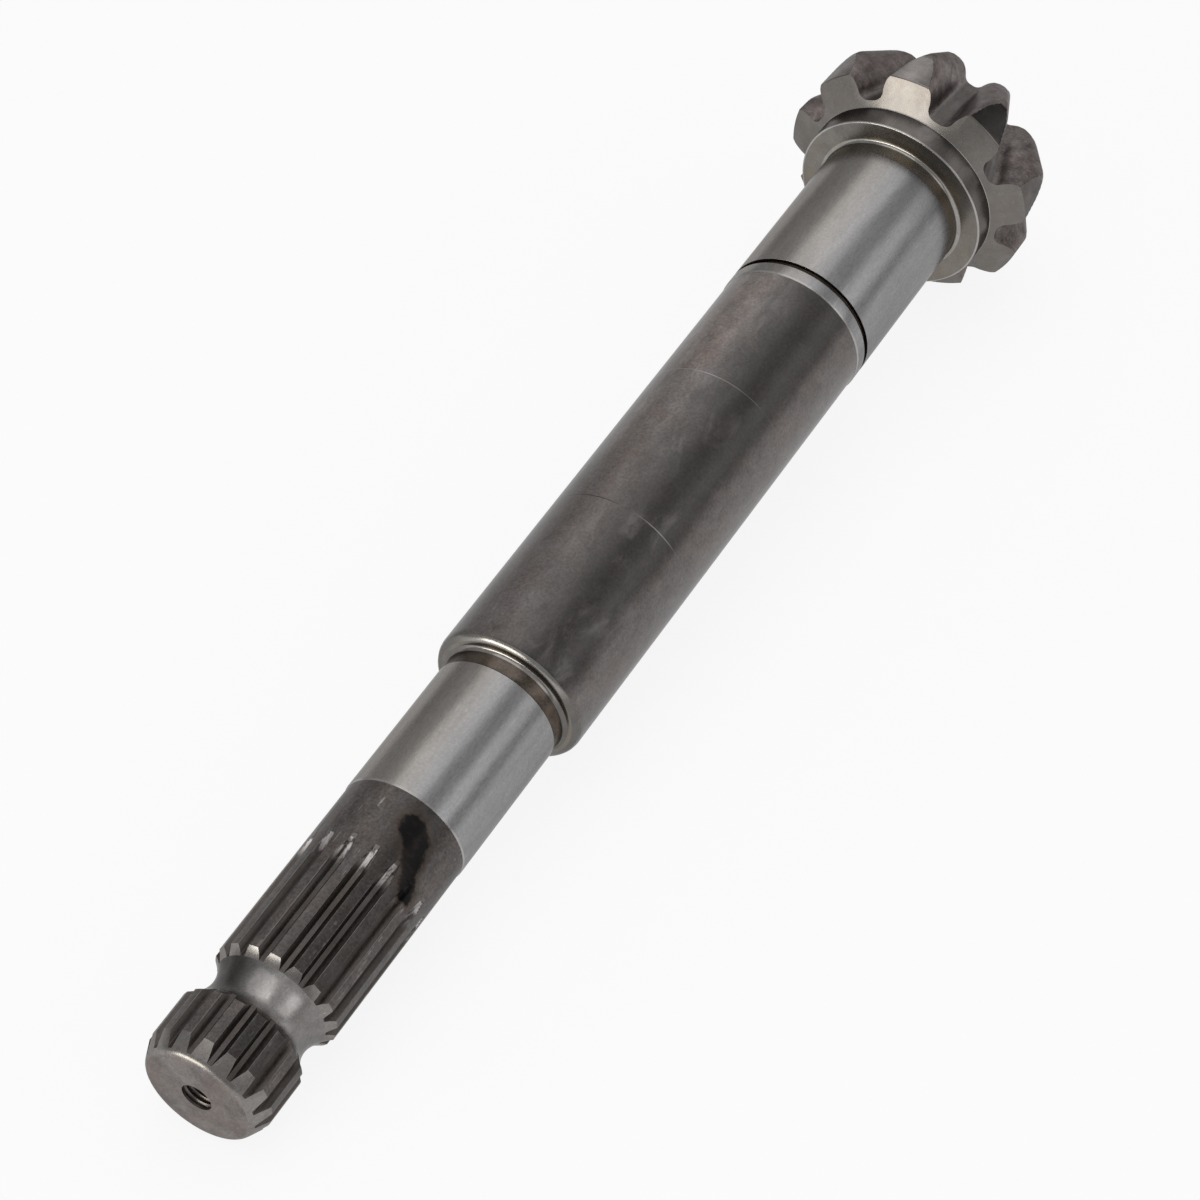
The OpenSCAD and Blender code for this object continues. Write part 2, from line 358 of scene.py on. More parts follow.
def splineCutter():
    s, tipR = spline, shaft["splineR"]
    step = math.tau / s["teeth"]
    tipHalf = s["land"] / 2 / tipR

    def spaceHalf(r):
        return step / 2 - tipHalf - involute(roll(s["baseR"], tipR)) + involute(roll(s["baseR"], r))

    top = tipR - s["tipRound"]
    side = [(s["rootR"], spaceHalf(s["rootR"]) - s["footAngle"])]
    for k in range(s["flankSteps"] + 1):
        r = s["rootR"] + s["footRise"] + (top - s["rootR"] - s["footRise"]) * k / s["flankSteps"]
        side.append((r, spaceHalf(r)))
    for k in range(1, s["tipSteps"] + 1):  # the cutter also breaks the tips' edges
        a = math.radians(90 * k / s["tipSteps"])
        r = top + s["tipRound"] * math.sin(a) * s["tipOver"]
        side.append((r, spaceHalf(top) + s["tipRound"] * (1 - math.cos(a)) / tipR))
    side.append((tipR + s["clear"], side[-1][1] + s["clearAngle"]))
    ob = outlinePiece("splineCutter", bothSides(side), -s["cutBefore"])
    pullOut(0, s["cutLength"] + s["cutBefore"])
    lift = 0.0
    for k in range(1, s["liftSteps"] + 1):  # lifting out on the cutter's radius
        run = s["liftLength"] * k / s["liftSteps"]
        rise = s["cutterR"] - math.sqrt(s["cutterR"] ** 2 - run ** 2)
        pullOut(rise - lift, s["liftLength"] / s["liftSteps"])
        lift = rise
    selectAll()
    turn = -math.radians(s["turn"]) - step / 2  # the operator turns backwards
    bpy.ops.transform.rotate(value=turn, orient_axis="Z", center_override=(0, 0, 0))
    copiesRound(s["teeth"])
    return ob


def cornerCut(r):  # breaks the edge between a flank and the turned outside
    c = pinion["cornerRound"]
    deep = c * math.sin(math.radians(pinion["cornerStop"]))
    reach = min(max(r - pinion["outerR"] + deep, 0.0), deep)
    return (c - math.sqrt(c * c - reach * reach)) / r


def toothSpaceSide(z):  # foot fillet, flank and rounded crest of the tooth beside a space
    p = pinion
    scale = formScale(rootR(z), z)
    fillet, cap = p["footFillet"] * scale, p["crestCap"] * scale
    foot, crest = rootR(z), crestR(z)
    low, high = foot + fillet, crest - cap
    side = []
    for k in range(p["filletSteps"]):
        u = 1 - math.cos(math.radians(90 * k / p["filletSteps"]))
        r = foot + u * fillet
        half = flankHalf(r, z) + fillet * (1 - math.sqrt(1 - (1 - u) ** 2)) / r
        side.append((r, gearStep / 2 - half))
    for k in range(p["flankSteps"] + 1):
        r = low + (high - low) * k / p["flankSteps"]
        side.append((r, gearStep / 2 - flankHalf(r, z)))
    for k in range(1, p["capSteps"] + 1):
        a = math.radians(p["capTurn"] * k / p["capSteps"])
        r = high + cap * math.sin(a)
        side.append((r, gearStep / 2 - flankHalf(r, z) * math.cos(a)))
    side.append((crest + p["clear"], side[-1][1]))
    widest = gearStep / 2 - p["apart"]
    return [(r, min(half + cornerCut(r), widest)) for r, half in side]


def toothSpaceCutter():
    p, start = pinion, shaft["backCone"]
    length = toeZ(crestToeR) + p["cutPast"] - start
    zs = [start - p["cutBefore"] + length * k / p["sections"] for k in range(p["sections"] + 1)]
    ob = outlinePiece("toothSpaceCutter", bothSides(toothSpaceSide(zs[0])), zs[0])
    for low, high in zip(zs, zs[1:]):
        pullOut(0, high - low)
        bm = bmesh.from_edit_mesh(ob.data)
        old = [Vector(xy) * mm for xy in bothSides(toothSpaceSide(low))]
        new = bothSides(toothSpaceSide(high))
        for v in [v for v in bm.verts if v.select]:  # each point follows its own line to the apex
            k = min(range(len(old)), key=lambda i: (old[i] - v.co.xy).length_squared)
            v.co = (new[k][0] * mm, new[k][1] * mm, high * mm)
        bmesh.update_edit_mesh(ob.data)
    copiesRound(p["teeth"])
    return ob


def cutAway(ob, cutter):
    selectOnly(ob)
    mod = ob.modifiers.new(cutter.name, "BOOLEAN")
    mod.operation, mod.solver, mod.object = "DIFFERENCE", "EXACT", cutter
    bpy.ops.object.modifier_apply(modifier=mod.name)
    bpy.data.objects.remove(cutter)


def dropSparePoints(ob):  # a point with only two edges leaves a fin when its faces are split
    selectOnly(ob)
    bpy.ops.object.mode_set(mode="EDIT")
    bpy.ops.mesh.select_mode(type="VERT")
    bpy.ops.mesh.select_all(action="DESELECT")
    bm = bmesh.from_edit_mesh(ob.data)
    for v in bm.verts:
        v.select = len(v.link_edges) == 2
    bmesh.update_edit_mesh(ob.data)
    bpy.ops.mesh.dissolve_verts()
    bpy.ops.object.mode_set(mode="OBJECT")


body = turnBlank()
print("blank turned:", len(body.data.polygons), "faces")
cutAway(body, splineCutter())
print("spline cut:", len(body.data.polygons), "faces")
cutAway(body, toothSpaceCutter())
dropSparePoints(body)
print("pinion teeth cut:", len(body.data.polygons), "faces")


# tones are linear; mottle has a patch size and a stretch along the shaft
finishes = {
    "splineSteel": {
        "dark": (0.046, 0.042, 0.041), "light": (0.100, 0.092, 0.090), "brown": (0.085, 0.064, 0.053),
        "rust": 0.45, "size": 2.8, "stretch": 0.5, "contrast": 3.2, "rough": (0.34, 0.48), "oil": 0.35,
        "paintedShading": 0.55, "spacing": 0.5, "lines": 0.0008, "grain": 0.006, "speck": 1.5, "scratch": 0.5},
    "spaceSkin": {
        "dark": (0.050, 0.046, 0.044), "light": (0.125, 0.114, 0.109), "brown": (0.085, 0.064, 0.053),
        "rust": 0.4, "size": 3.0, "stretch": 0.3, "rough": (0.36, 0.50),
        "spacing": 0.6, "lines": 0.001, "grain": 0.004},
    "toothEnds": {
        "dark": (0.17, 0.162, 0.157), "light": (0.29, 0.278, 0.270), "brown": (0.24, 0.20, 0.17),
        "rust": 0.3, "size": 2.5, "rough": (0.24, 0.36),
        "spacing": 0.25, "lines": 0.003, "grain": 0.003, "scratch": 0.2},
    "grooveSteel": {
        "dark": (0.15, 0.143, 0.141), "light": (0.27, 0.260, 0.256), "brown": (0.18, 0.15, 0.135),
        "rust": 0.25, "size": 4.0, "rough": (0.25, 0.31),
        "spacing": 0.35, "lines": 0.0006, "grain": 0.0006, "scratch": 0.15},
    "endFace": {
        "dark": (0.145, 0.132, 0.128), "light": (0.29, 0.270, 0.262), "brown": (0.20, 0.152, 0.130),
        "rust": 0.55, "size": 7.0, "contrast": 3.6, "rough": (0.28, 0.38),
        "spacing": 0.22, "lines": 0.004, "grain": 0.001, "scratch": 0.15},
    "groundSeat": {
        "dark": (0.235, 0.230, 0.230), "light": (0.340, 0.332, 0.330), "brown": (0.26, 0.23, 0.215),
        "rust": 0.25, "size": 5.0, "stretch": 0.16, "rough": (0.26, 0.31),
        "spacing": 0.12, "lines": 0.0008, "grain": 0.0014, "scratch": 0.10},
    "reliefSkin": {
        "dark": (0.040, 0.034, 0.030), "light": (0.130, 0.110, 0.096), "brown": (0.13, 0.095, 0.070),
        "rust": 0.45, "size": 5.0, "contrast": 4.0, "rough": (0.22, 0.32),
        "spacing": 0.3, "lines": 0.002, "grain": 0.002, "scratch": 0.05},
    "paleRelief": {
        "dark": (0.27, 0.253, 0.238), "light": (0.40, 0.377, 0.355), "brown": (0.38, 0.31, 0.20),
        "rust": 0.6, "size": 5.0, "rough": (0.22, 0.28),
        "spacing": 0.3, "lines": 0.0008, "grain": 0.001, "speck": 0.3, "scratch": 0.05},
    # pale tone of the fillets; it paints highlight rings on the fillets and the first shoulder's rounded
    # edge
    "brightFillet": {
        "dark": (0.24, 0.230, 0.220), "light": (0.36, 0.348, 0.333), "brown": (0.26, 0.22, 0.17),
        "rust": 0.25, "size": 4.0, "rough": (0.18, 0.27),
        "spacing": 0.25, "lines": 0.0003, "grain": 0.0006, "speck": 0.15, "scratch": 0.1},
    "barrelSkin": {
        "dark": (0.048, 0.043, 0.041), "light": (0.110, 0.101, 0.098), "brown": (0.092, 0.070, 0.062),
        "rust": 0.5, "size": 5.0, "stretch": 0.6, "contrast": 2.8, "rough": (0.38, 0.52), "oil": 0.8,
        "paintedShading": 1.0, "spacing": 0.45, "lines": 0.0012, "grain": 0.006, "speck": 1.3},
    "shoulderFace": {
        "dark": (0.13, 0.121, 0.115), "light": (0.24, 0.226, 0.212), "brown": (0.21, 0.175, 0.120),
        "rust": 0.4, "size": 6.0, "rough": (0.24, 0.28),
        "spacing": 0.3, "lines": 0.001, "grain": 0.0008, "speck": 0.15, "scratch": 0.1},
    "collarRim": {
        "dark": (0.085, 0.078, 0.074), "light": (0.17, 0.158, 0.152), "brown": (0.13, 0.105, 0.085),
        "rust": 0.4, "size": 5.0, "stretch": 0.6, "rough": (0.24, 0.28),
        "spacing": 0.3, "lines": 0.001, "grain": 0.0008, "speck": 0.15, "scratch": 0.1},
    "heelFace": {
        "dark": (0.135, 0.127, 0.120), "light": (0.215, 0.203, 0.193), "brown": (0.165, 0.135, 0.113),
        "rust": 0.35, "size": 5.0, "rough": (0.26, 0.28),
        "spacing": 0.3, "lines": 0.0003, "grain": 0.0006, "speck": 0.15, "scratch": 0.1},
    "forgedFlank": {
        "dark": (0.095, 0.083, 0.081), "light": (0.31, 0.277, 0.271), "brown": (0.20, 0.155, 0.138),
        "rust": 0.5, "size": 4.5, "contrast": 3.6, "rough": (0.38, 0.52),
        "spacing": 0.8, "lines": 0.0, "grain": 0.02, "speck": 1.0, "scratch": 0.08},
    "rootSkin": {
        "dark": (0.15, 0.141, 0.137), "light": (0.31, 0.292, 0.283), "brown": (0.20, 0.165, 0.150),
        "rust": 0.4, "size": 4.0, "stretch": 0.5, "rough": (0.28, 0.38),
        "spacing": 0.5, "lines": 0.0005, "grain": 0.003, "scratch": 0.1},
    "tipEdge": {
        "dark": (0.10, 0.094, 0.092), "light": (0.26, 0.248, 0.244), "brown": (0.12, 0.095, 0.080),
        "rust": 0.3, "size": 2.5, "stretch": 0.25, "rough": (0.30, 0.42),
        "spacing": 0.3, "lines": 0.001, "grain": 0.002},
    # pale edges and leads: real wear, with a painted highlight along them
    "edgeWearAndHighlight": {
        "dark": (0.32, 0.310, 0.303), "light": (0.44, 0.427, 0.418), "brown": (0.28, 0.24, 0.21),
        "rust": 0.15, "size": 6.0, "rough": (0.20, 0.30),
        "spacing": 0.3, "lines": 0.0, "grain": 0.0002, "speck": 0.15},
    "boreSkin": {
        "dark": (0.09, 0.083, 0.078), "light": (0.24, 0.225, 0.215), "brown": (0.15, 0.115, 0.090),
        "rust": 0.4, "size": 2.0, "rough": (0.32, 0.45),
        "spacing": 0.3, "lines": 0.002, "grain": 0.004},
}
finishNames = list(finishes)

# where one finish meets the next: millimetres, and how far a face leans along or out from the shaft
zones = {
    "near": 0.02,
    "faceDeep": 0.25, "faceLean": -0.7,
    "endPast": 0.5, "endIn": 1.2, "endOut": (0.3, 0.97), "endLean": -0.22,
    "grooveGap": 0.06, "grooveReach": 8.5, "grooveRoot": 0.1,
    "tipSkin": 0.015, "tipEdge": 0.25, "tipOut": 0.3,
    "boreR": 5.2, "tapEnd": 28.0, "pilotStart": 300.0,
    "roundEnd": 0.2, "roundIn": 0.05, "faceIn": 0.1, "faceOut": 0.42, "filletOut": 0.85,
    "ringIn": 0.05, "ringSide": 0.2, "ringOut": 0.9,
    "filletIn": 0.25,
    "collarPast": 0.1, "conePast": 0.15, "collarEdge": 0.6, "edgeOut": (0.12, 0.97), "rimOut": 0.9,
    "heelGap": 0.3, "toeGap": 0.05, "rootRise": 0.7,
}


def splineFinish(r, z, out, n):
    s, t = shaft, zones
    if z < t["faceDeep"] and n.z < t["faceLean"]:
        return "endFace"
    if z < s["chamferEnd"] + t["endPast"] and r > s["endFaceR"] - t["endIn"]:
        if t["endOut"][0] < out < t["endOut"][1] and n.z < t["endLean"]:
            return "toothEnds"
    fromMid = math.hypot(r - s["grooveWaist"] - s["grooveSection"], z - s["grooveMid"])
    if abs(fromMid - s["grooveSection"]) < t["grooveGap"] and abs(z - s["grooveMid"]) < t["grooveReach"]:
        return "toothEnds" if r > spline["rootR"] + t["grooveRoot"] else "grooveSteel"
    if r > s["splineR"] - t["tipSkin"]:
        return "splineSteel"
    if r > s["splineR"] - t["tipEdge"] and out > t["tipOut"]:
        return "tipEdge"
    return "spaceSkin"


# the fillet and the outer part of the rounded edge take the pale fillet tone as painted highlight rings; the
# inner part takes the face tone
def shoulderFinish(r, out):  # first shoulder, from its fillet to its rounded edge
    t = zones
    if r < shaft["barrelR"] - shaft["barrelRound"] - t["faceIn"]:
        return "brightFillet"
    if out < t["faceOut"]:
        return "shoulderFace"
    return "brightFillet" if out < t["filletOut"] else "barrelSkin"


def seatFinish(r, z, out):  # second seat and the ring groove before it
    s, t = shaft, zones
    inRing = s["ringStart"] - t["ringSide"] < z < s["ringEnd"] + t["ringSide"]
    if r > s["seat2R"] - t["ringIn"] or not inRing:
        return "groundSeat"
    return "shoulderFace" if out > t["ringOut"] else "reliefSkin"


def collarFinish(r, out):
    t = zones
    # the collar's edges take the pale edge tone, wear with a painted highlight
    if t["edgeOut"][0] < abs(out) < t["edgeOut"][1] and r > shaft["collarR"] - t["collarEdge"]:
        return "edgeWearAndHighlight"
    return "collarRim" if out > t["rimOut"] else "shoulderFace"


def finishAt(c, n):  # which finish a face has, by its place on the shaft in millimetres
    s, t = shaft, zones
    r, z = math.hypot(c.x, c.y), c.z
    out = (n.x * c.x + n.y * c.y) / max(r, 1e-6)
    if r < t["boreR"] and (z < t["tapEnd"] or z > t["pilotStart"]):
        return "boreSkin"
    if z < s["seat1Start"] - t["near"]:
        return splineFinish(r, z, out, n)
    # the lead on to the first seat is pale: wear with a painted highlight
    if z < s["seat1Start"] + s["seatRise"]:
        return "edgeWearAndHighlight"
    if z < s["seat1End"] + t["near"]:
        return "groundSeat"
    if z < s["shoulder1"] - s["fillet"]:
        return "reliefSkin"
    if z < s["shoulder1"] + s["barrelRound"] - t["roundEnd"] and r < s["barrelR"] - t["roundIn"]:
        return shoulderFinish(r, out)
    if z < s["landStart"] + t["near"]:
        return "barrelSkin"
    # the lead on to the second seat is pale: wear with a painted highlight
    if z < s["landStart"] + s["seatRise"]:
        return "edgeWearAndHighlight"
    if z < s["seat2End"] + t["near"]:
        return seatFinish(r, z, out)
    if z < s["shoulder2"] - s["fillet"]:
        return "paleRelief"
    # the second shoulder's fillet takes the pale fillet tone, a painted highlight ring
    if z < s["shoulder2"] + t["near"] and r < s["seat2R"] + s["fillet"] - t["filletIn"]:
        return "brightFillet"
    if r < s["collarR"] + t["collarPast"] and z < s["backCone"] + t["conePast"]:
        return collarFinish(r, out)
    if abs(z - backZ(r)) < t["heelGap"] or z > toeZ(r) - t["toeGap"]:
        return "heelFace"
    return "rootSkin" if r < rootR(z) + t["rootRise"] else "forgedFlank"


def markFinishes(ob):
    for name in finishNames:
        ob.data.materials.append(bpy.data.materials.new(name))
    for face in ob.data.polygons:
        face.material_index = finishNames.index(finishAt(face.center / mm, face.normal))


def layDown(ob):
    tilt = math.radians(lying["tilt"])
    place = Matrix.Translation((-lying["middle"] * mm, 0, lying["height"] * mm))
    ob.data.transform(place @ Matrix.Rotation(math.pi / 2 - tilt, 4, "Y"))


markFinishes(body)
layDown(body)
selectOnly(body)
bpy.ops.object.shade_smooth_by_angle(angle=math.radians(lying["crispFrom"]))
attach(body, "root")
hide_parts("pinion_shaft")
print("shaft laid down")


def plug(tree, socket, value):
    if isinstance(value, bpy.types.NodeSocket):
        tree.links.new(value, socket)
    else:
        socket.default_value = value


def add(tree, kind):
    return tree.nodes.new("ShaderNode" + kind)


def calc(tree, operation, *values, clamp=False):
    node = add(tree, "Math")
    node.operation, node.use_clamp = operation, clamp
    for socket, value in zip(node.inputs, values):
        plug(tree, socket, value)
    return node.outputs[0]


def times(tree, product, *values):
    for value in values:
        product = calc(tree, "MULTIPLY", product, value)
    return product


def ramp(tree, value, low, high, start=0.0, end=1.0):
    node = add(tree, "MapRange")
    node.interpolation_type = "SMOOTHSTEP"
    for socket, v in zip(node.inputs, (value, low, high, start, end)):
        plug(tree, socket, v)
    return node.outputs[0]


def mixColour(tree, factor, a, b):
    node = add(tree, "Mix")
    node.data_type = "RGBA"
    for k, v in ((0, factor), (6, a), (7, b)):  # the colour sockets of the node
        plug(tree, node.inputs[k], v)
    return node.outputs[2]


def scaled(tree, colour, factor):
    node = add(tree, "VectorMath")
    node.operation = "SCALE"
    plug(tree, node.inputs[0], colour)
    plug(tree, node.inputs["Scale"], factor)
    return node.outputs[0]


def changed(tree, colour, change):  # brighter or darker by a share
    return scaled(tree, colour, calc(tree, "ADD", change, 1.0))


def tinted(tree, colour, tint):
    node = add(tree, "VectorMath")
    node.operation = "MULTIPLY"
    plug(tree, node.inputs[0], colour)
    plug(tree, node.inputs[1], tint)
    return node.outputs[0]


def noise(tree, vector, scale, detail=4.0, rough=0.55, twist=0.0):
    node = add(tree, "TexNoise")
    names = ("Vector", "Scale", "Detail", "Roughness", "Distortion")
    for name, v in zip(names, (vector, scale, detail, rough, twist)):
        plug(tree, node.inputs[name], v)
    return node.outputs[0]


def centred(tree, value):  # noise runs from zero to one
    return calc(tree, "SUBTRACT", value, 0.5)


def stretched(tree, vector, scale, turn=(0, 0, 0)):
    node = add(tree, "Mapping")
    plug(tree, node.inputs["Vector"], vector)
    plug(tree, node.inputs["Scale"], scale)
    plug(tree, node.inputs["Rotation"], turn)
    return node.outputs[0]


def alongShaft(share):  # scale that draws a pattern out along the shaft
    return (1.0, 1.0, share)


def solid(colour):
    return (*colour, 1.0)


def newGroup(name, ins, outs):
    tree = bpy.data.node_groups.new(name, "ShaderNodeTree")
    kinds = {1: "Float", 3: "Vector", 4: "Color"}  # by the length of the value
    for label, value in ins:
        kind = kinds[len(value) if isinstance(value, tuple) else 1]
        entry = tree.interface.new_socket(label, in_out="INPUT", socket_type="NodeSocket" + kind)
        entry.default_value = value
    for label, kind in outs:
        tree.interface.new_socket(label, in_out="OUTPUT", socket_type="NodeSocket" + kind)
    return tree, tree.nodes.new("NodeGroupInput").outputs, tree.nodes.new("NodeGroupOutput").inputs


def useGroup(tree, group, **values):
    node = add(tree, "Group")
    node.node_tree = group
    for name, v in values.items():
        plug(tree, node.inputs[name], v)
    return node.outputs


placeInput = ("Place", (0.0, 0.0, 0.0))
colourInput = ("Colour", (0.2, 0.2, 0.2, 1.0))


def makeShaftSpace():  # place along, round and out from the shaft's axis, in millimetres
    outs = [("Place", "Vector"), ("Along", "Float"), ("Round", "Float"), ("Radius", "Float")]
    tree, _, out = newGroup("shaftSpace", [], outs)
    coord = add(tree, "TexCoord")
    turn = add(tree, "Mapping")
    turn.vector_type = "TEXTURE"
    turn.inputs["Location"].default_value = (-lying["middle"] * mm, 0, lying["height"] * mm)
    turn.inputs["Rotation"].default_value = (0, math.pi / 2 - math.radians(lying["tilt"]), 0)
    turn.inputs["Scale"].default_value = (mm, mm, mm)
    plug(tree, turn.inputs["Vector"], coord.outputs["Object"])
    split = add(tree, "SeparateXYZ")
    plug(tree, split.inputs[0], turn.outputs[0])
    x, y, z = split.outputs
    angle = calc(tree, "ARCTAN2", times(tree, y, -1.0), times(tree, x, -1.0))
    squares = calc(tree, "ADD", times(tree, x, x), times(tree, y, y))
    plug(tree, out["Place"], turn.outputs[0])
    plug(tree, out["Along"], z)
    plug(tree, out["Round"], calc(tree, "DEGREES", angle))  # zero at the top
    plug(tree, out["Radius"], calc(tree, "SQRT", squares))
    return tree


# noises are given as detail, roughness and twist, after their scale where it is fixed
mottleLook = {"patches": (5.0, 0.62, 0.4), "specks": (3.0, 0.6), "speckScale": 9.0,
              "patchShare": 0.72, "speckShare": 0.28, "contrast": 2.2}


def makeMottle():  # uneven tone, in patches with finer specks
    look = mottleLook
    tree, ins, out = newGroup("mottle", [placeInput, ("Size", 6.0), ("Sharpness", look["contrast"])],
                              [("Mask", "Float"), ("Specks", "Float")])
    scale = calc(tree, "DIVIDE", 1.0, ins["Size"])
    patches = noise(tree, ins["Place"], scale, *look["patches"])
    specks = noise(tree, ins["Place"], times(tree, scale, look["speckScale"]), *look["specks"])
    fine = times(tree, specks, look["speckShare"])
    both = calc(tree, "ADD", times(tree, patches, look["patchShare"]), fine)
    lifted = times(tree, centred(tree, both), ins["Sharpness"])
    plug(tree, out["Mask"], calc(tree, "ADD", lifted, 0.5, clamp=True))
    plug(tree, out["Specks"], specks)
    return tree


toolLook = {"detail": 3.0, "patches": (0.12, 2.0), "patchy": (0.3, 0.6, 0.4, 1.0)}


def makeToolLines():  # lines left round the shaft by turning or grinding
    look = toolLook
    tree, ins, out = newGroup("toolLines", [("Along", 0.0), ("Radius", 0.0), placeInput, ("Spacing", 0.3)],
                              [("Lines", "Float")])
    node = add(tree, "TexNoise")
    node.noise_dimensions = "1D"
    reach = calc(tree, "ADD", ins["Along"], ins["Radius"])
    plug(tree, node.inputs["W"], calc(tree, "DIVIDE", reach, ins["Spacing"]))
    plug(tree, node.inputs["Detail"], look["detail"])
    patchy = ramp(tree, noise(tree, ins["Place"], *look["patches"]), *look["patchy"])
    plug(tree, out["Lines"], times(tree, node.outputs[0], patchy))
    return tree


scratchLook = {"turns": ((0.3, 0.2, 0.5), (-0.5, 0.35, -0.9)), "stretch": 0.06, "strokes": (1.0, 0.4),
               "width": (0.66, 0.72), "patches": (0.25, 2.0), "patchy": (0.5, 0.62)}


def makeScratches():  # fine bright strokes in two directions
    look = scratchLook
    tree, ins, out = newGroup("scratches", [placeInput, ("Size", 1.0), ("Amount", 0.5)], [("Mask", "Float")])
    scale = calc(tree, "DIVIDE", 1.0, ins["Size"])
    marks = None
    for turn in look["turns"]:
        long = stretched(tree, ins["Place"], alongShaft(look["stretch"]), turn)
        here = ramp(tree, noise(tree, long, scale, *look["strokes"]), *look["width"])
        marks = here if marks is None else calc(tree, "MAXIMUM", marks, here)
    broken = ramp(tree, noise(tree, ins["Place"], *look["patches"]), *look["patchy"])
    plug(tree, out["Mask"], times(tree, marks, broken, ins["Amount"]))
    return tree


def bandSum(tree, angle, bands):  # soft bands of change round the shaft
    change = None
    for (start, full, last, end), amount in bands:
        band = times(tree, ramp(tree, angle, start, full), ramp(tree, angle, last, end, amount, 0.0))
        change = band if change is None else calc(tree, "ADD", change, band)
    return change


# painted shade in a band along one side, with painted highlight bands beside it
# a band has degrees from the top at its start, full, end of full and end, then its change
paintedShading = {
    "bands": (((-46, -30, -14, 4), 1.2), ((0, 22, 50, 60), -0.52), ((54, 66, 84, 104), 0.5)),
    "waver": 14.0,
    "stretch": 0.5,
    "edge": (0.06, 3.0),
}


# paints shade and highlight into the colour in bands round the shaft
def makePaintedShadeBands():
    tree, ins, out = newGroup("paintedShadeBands", [("Round", 0.0), placeInput, ("Strength", 1.0), colourInput],
                              [("Colour", "Color")])
    drawn = stretched(tree, ins["Place"], alongShaft(paintedShading["stretch"]))
    waver = centred(tree, noise(tree, drawn, *paintedShading["edge"]))
    angle = calc(tree, "ADD", ins["Round"], times(tree, waver, paintedShading["waver"]))
    change = times(tree, bandSum(tree, angle, paintedShading["bands"]), ins["Strength"])
    plug(tree, out["Colour"], changed(tree, ins["Colour"], change))
    return tree


speckleLook = {"grain": (1.3, 2.0, 0.6), "amount": 0.45}


def makeSpeckle():  # fine grain in the tone
    tree, ins, out = newGroup("speckle", [placeInput, ("Amount", 0.5), colourInput], [("Colour", "Color")])
    grain = centred(tree, noise(tree, ins["Place"], *speckleLook["grain"]))
    plug(tree, out["Colour"], changed(tree, ins["Colour"], times(tree, grain, ins["Amount"])))
    return tree


shaftSpace, mottle, toolLines, scratches = makeShaftSpace(), makeMottle(), makeToolLines(), makeScratches()
paintedShadeBands, speckle = makePaintedShadeBands(), makeSpeckle()

# what all the finishes share
steel = {
    "rimTint": 0.6,  # softer reflection at the rim
    "oilRough": 0.3,
    "rustStretch": 0.8,
    "rustTurn": (0.4, 0.9, 0.2),
    "rustSize": 2.3,  # against the finish's own patches
    "rustContrast": 4.5,
    "scratchGain": 1.6,  # scratches against the light tone
    "scratchLift": 0.12,
    "roughSpan": (0.3, 0.7),
}


def steelFinish(name, f):
    mat = bpy.data.materials[name]
    mat.use_nodes = True
    tree = mat.node_tree
    bsdf = tree.nodes["Principled BSDF"]
    bsdf.inputs["Metallic"].default_value = 1.0
    bsdf.inputs["Specular Tint"].default_value = solid([steel["rimTint"]] * 3)
    bsdf.inputs["Coat Weight"].default_value = f.get("oil", 0.0)
    bsdf.inputs["Coat Roughness"].default_value = steel["oilRough"]
    space = useGroup(tree, shaftSpace)
    place = space["Place"]
    drawn = stretched(tree, place, alongShaft(f.get("stretch", 1.0)))
    contrast = f.get("contrast", mottleLook["contrast"])
    tone = useGroup(tree, mottle, Place=drawn, Size=f["size"], Sharpness=contrast)
    turned = stretched(tree, place, alongShaft(steel["rustStretch"]), steel["rustTurn"])
    rust = useGroup(tree, mottle, Place=turned, Size=f["size"] * steel["rustSize"],
                    Sharpness=steel["rustContrast"])
    colour = mixColour(tree, tone["Mask"], solid(f["dark"]), solid(f["light"]))
    colour = mixColour(tree, times(tree, rust["Mask"], f["rust"]), colour, solid(f["brown"]))
    if "scratch" in f:
        strokes = useGroup(tree, scratches, Place=place, Amount=f["scratch"])
        bright = tuple(min(1.0, steel["scratchGain"] * c + steel["scratchLift"]) for c in f["light"])
        colour = mixColour(tree, strokes["Mask"], colour, solid(bright))
    # painted shade and highlight bands round the shaft
    if "paintedShading" in f:
        shadePainted = useGroup(tree, paintedShadeBands, Colour=colour, Round=space["Round"], Place=place,
                          Strength=f["paintedShading"])
        colour = shadePainted["Colour"]
    speck = f.get("speck", speckleLook["amount"])
    colour = useGroup(tree, speckle, Colour=colour, Place=place, Amount=speck)["Colour"]
    lines = useGroup(tree, toolLines, Along=space["Along"], Radius=space["Radius"], Place=place,
                     Spacing=f["spacing"])
    grain = times(tree, tone["Specks"], f["grain"])
    height = calc(tree, "ADD", times(tree, lines["Lines"], f["lines"]), grain)
    bump = add(tree, "Bump")
    bump.inputs["Strength"].default_value = 1.0
    bump.inputs["Distance"].default_value = mm
    plug(tree, bump.inputs["Height"], height)
    plug(tree, bsdf.inputs["Roughness"], ramp(tree, tone["Specks"], *steel["roughSpan"], *f["rough"]))
    plug(tree, bsdf.inputs["Normal"], bump.outputs[0])
    plug(tree, bsdf.inputs["Base Color"], colour)
    return tree, bsdf, space, colour


made = {name: steelFinish(name, f) for name, f in finishes.items()}

